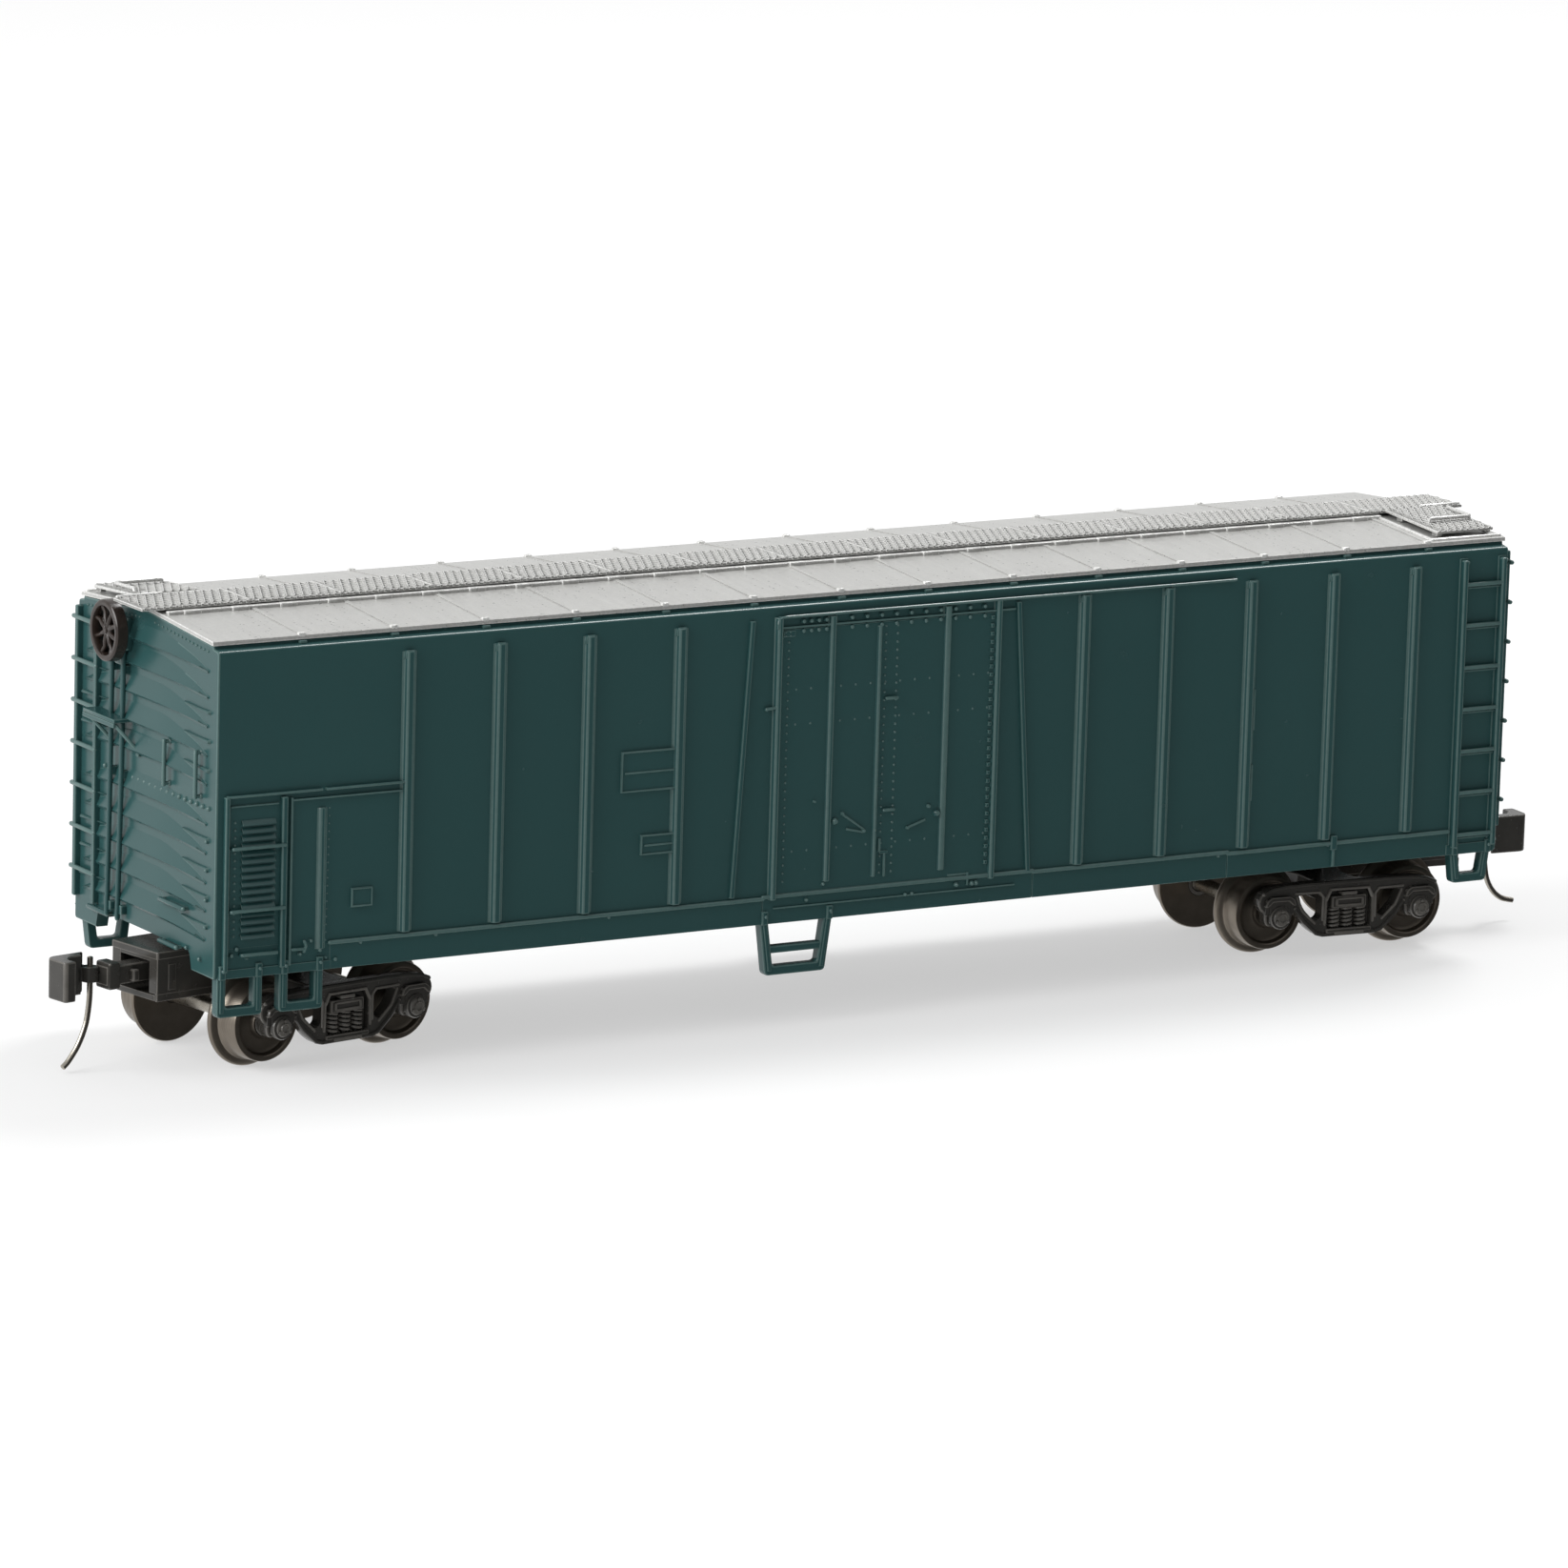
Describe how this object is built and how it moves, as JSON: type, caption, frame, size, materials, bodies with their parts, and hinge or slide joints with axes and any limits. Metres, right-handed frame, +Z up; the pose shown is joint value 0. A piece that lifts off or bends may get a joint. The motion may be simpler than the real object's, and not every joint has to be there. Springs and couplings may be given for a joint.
{
  "type": "model box car",
  "caption": "N scale insulated box car with ribbed sides, plug door, louvred compartment, mesh running board and swivelling trucks that carry knuckle couplers.",
  "frame": {"origin": "under the middle of the car, on the plane that the wheel flanges rest on", "axes": "+X along the car towards the plain end (the brake wheel is at -X), +Y across it towards the far side, +Z up"},
  "size_m": [0.1129, 0.0206, 0.0297],
  "materials": {
    "teal_paint": "satin dark teal moulded plastic",
    "silver_paint": "satin silver paint over plastic",
    "black_plastic": "satin black acetal",
    "brown_plastic": "satin dark brown plastic",
    "blackened_metal": "turned, chemically blackened",
    "bright_steel": "plain drawn steel"
  },
  "bodies": {
    "car_body": {"body_shell": "teal_paint", "roof_panel": "silver_paint", "running_board": "silver_paint", "underframe": "black_plastic", "ballast_plate": "bright_steel", "a_kingpin": "black_plastic", "b_kingpin": "black_plastic"},
    "brake_wheel": {"brake_wheel": "brown_plastic"},
    "a_truck": {"a_truck_frame": "black_plastic", "a_pocket_lid": "black_plastic", "a_centring_spring": "bright_steel"},
    "a_outer_wheelset": {"a_outer_axle": "bright_steel", "a_outer_wheel_insulated": "blackened_metal", "a_outer_wheel_plain": "blackened_metal", "a_outer_bush": "black_plastic"},
    "a_inner_wheelset": {"a_inner_axle": "bright_steel", "a_inner_wheel_insulated": "blackened_metal", "a_inner_wheel_plain": "blackened_metal", "a_inner_bush": "black_plastic"},
    "a_coupler": {"a_coupler_shank": "black_plastic"},
    "a_knuckle": {"a_knuckle": "black_plastic", "a_trip_pin": "bright_steel"},
    "b_truck": {"b_truck_frame": "black_plastic", "b_pocket_lid": "black_plastic", "b_centring_spring": "bright_steel"},
    "b_outer_wheelset": {"b_outer_axle": "bright_steel", "b_outer_wheel_insulated": "blackened_metal", "b_outer_wheel_plain": "blackened_metal", "b_outer_bush": "black_plastic"},
    "b_inner_wheelset": {"b_inner_axle": "bright_steel", "b_inner_wheel_insulated": "blackened_metal", "b_inner_wheel_plain": "blackened_metal", "b_inner_bush": "black_plastic"},
    "b_coupler": {"b_coupler_shank": "black_plastic"},
    "b_knuckle": {"b_knuckle": "black_plastic", "b_trip_pin": "bright_steel"}
  },
  "joints": [
    {"name": "brake_wheel_turn", "type": "hinge", "parent": "car_body", "child": "brake_wheel", "pos_m": [-0.04955, 0.003, 0.02715], "axis": [-1, 0, 0], "continuous": true},
    {"name": "a_truck_swivel", "type": "hinge", "parent": "car_body", "child": "a_truck", "pos_m": [0.0392, 0, 0.0042], "axis": [0, 0, 1], "range_deg": [-7.5, 16.5]},
    {"name": "a_outer_axle_roll", "type": "hinge", "parent": "a_truck", "child": "a_outer_wheelset", "pos_m": [0.04458, -0.00042, 0.00315], "axis": [0.0785, 0.9969, 0], "continuous": true},
    {"name": "a_inner_axle_roll", "type": "hinge", "parent": "a_truck", "child": "a_inner_wheelset", "pos_m": [0.03382, 0.00042, 0.00315], "axis": [0.0785, 0.9969, 0], "continuous": true},
    {"name": "a_coupler_swing", "type": "hinge", "parent": "a_truck", "child": "a_coupler", "pos_m": [0.04807, -0.0007, 0.0062], "axis": [0, 0, 1], "range_deg": [-10, 10], "stiffness_Nm_per_rad": 0.00002},
    {"name": "a_knuckle_open", "type": "hinge", "parent": "a_coupler", "child": "a_knuckle", "pos_m": [0.05345, -0.00184, 0.0062], "axis": [0, 0, 1], "range_deg": [-25, 0], "stiffness_Nm_per_rad": 0.000001},
    {"name": "b_truck_swivel", "type": "hinge", "parent": "car_body", "child": "b_truck", "pos_m": [-0.0392, 0, 0.0042], "axis": [0, 0, 1], "range_deg": [-22.5, 1.5]},
    {"name": "b_outer_axle_roll", "type": "hinge", "parent": "b_truck", "child": "b_outer_wheelset", "pos_m": [-0.04451, -0.00098, 0.00315], "axis": [-0.1822, 0.9833, 0], "continuous": true},
    {"name": "b_inner_axle_roll", "type": "hinge", "parent": "b_truck", "child": "b_inner_wheelset", "pos_m": [-0.03389, 0.00098, 0.00315], "axis": [-0.1822, 0.9833, 0], "continuous": true},
    {"name": "b_coupler_swing", "type": "hinge", "parent": "b_truck", "child": "b_coupler", "pos_m": [-0.04795, -0.00162, 0.0062], "axis": [0, 0, 1], "range_deg": [-10, 10], "stiffness_Nm_per_rad": 0.00002},
    {"name": "b_knuckle_open", "type": "hinge", "parent": "b_coupler", "child": "b_knuckle", "pos_m": [-0.05344, -0.00191, 0.0062], "axis": [0, 0, 1], "range_deg": [-25, 0], "stiffness_Nm_per_rad": 0.000001}
  ]
}
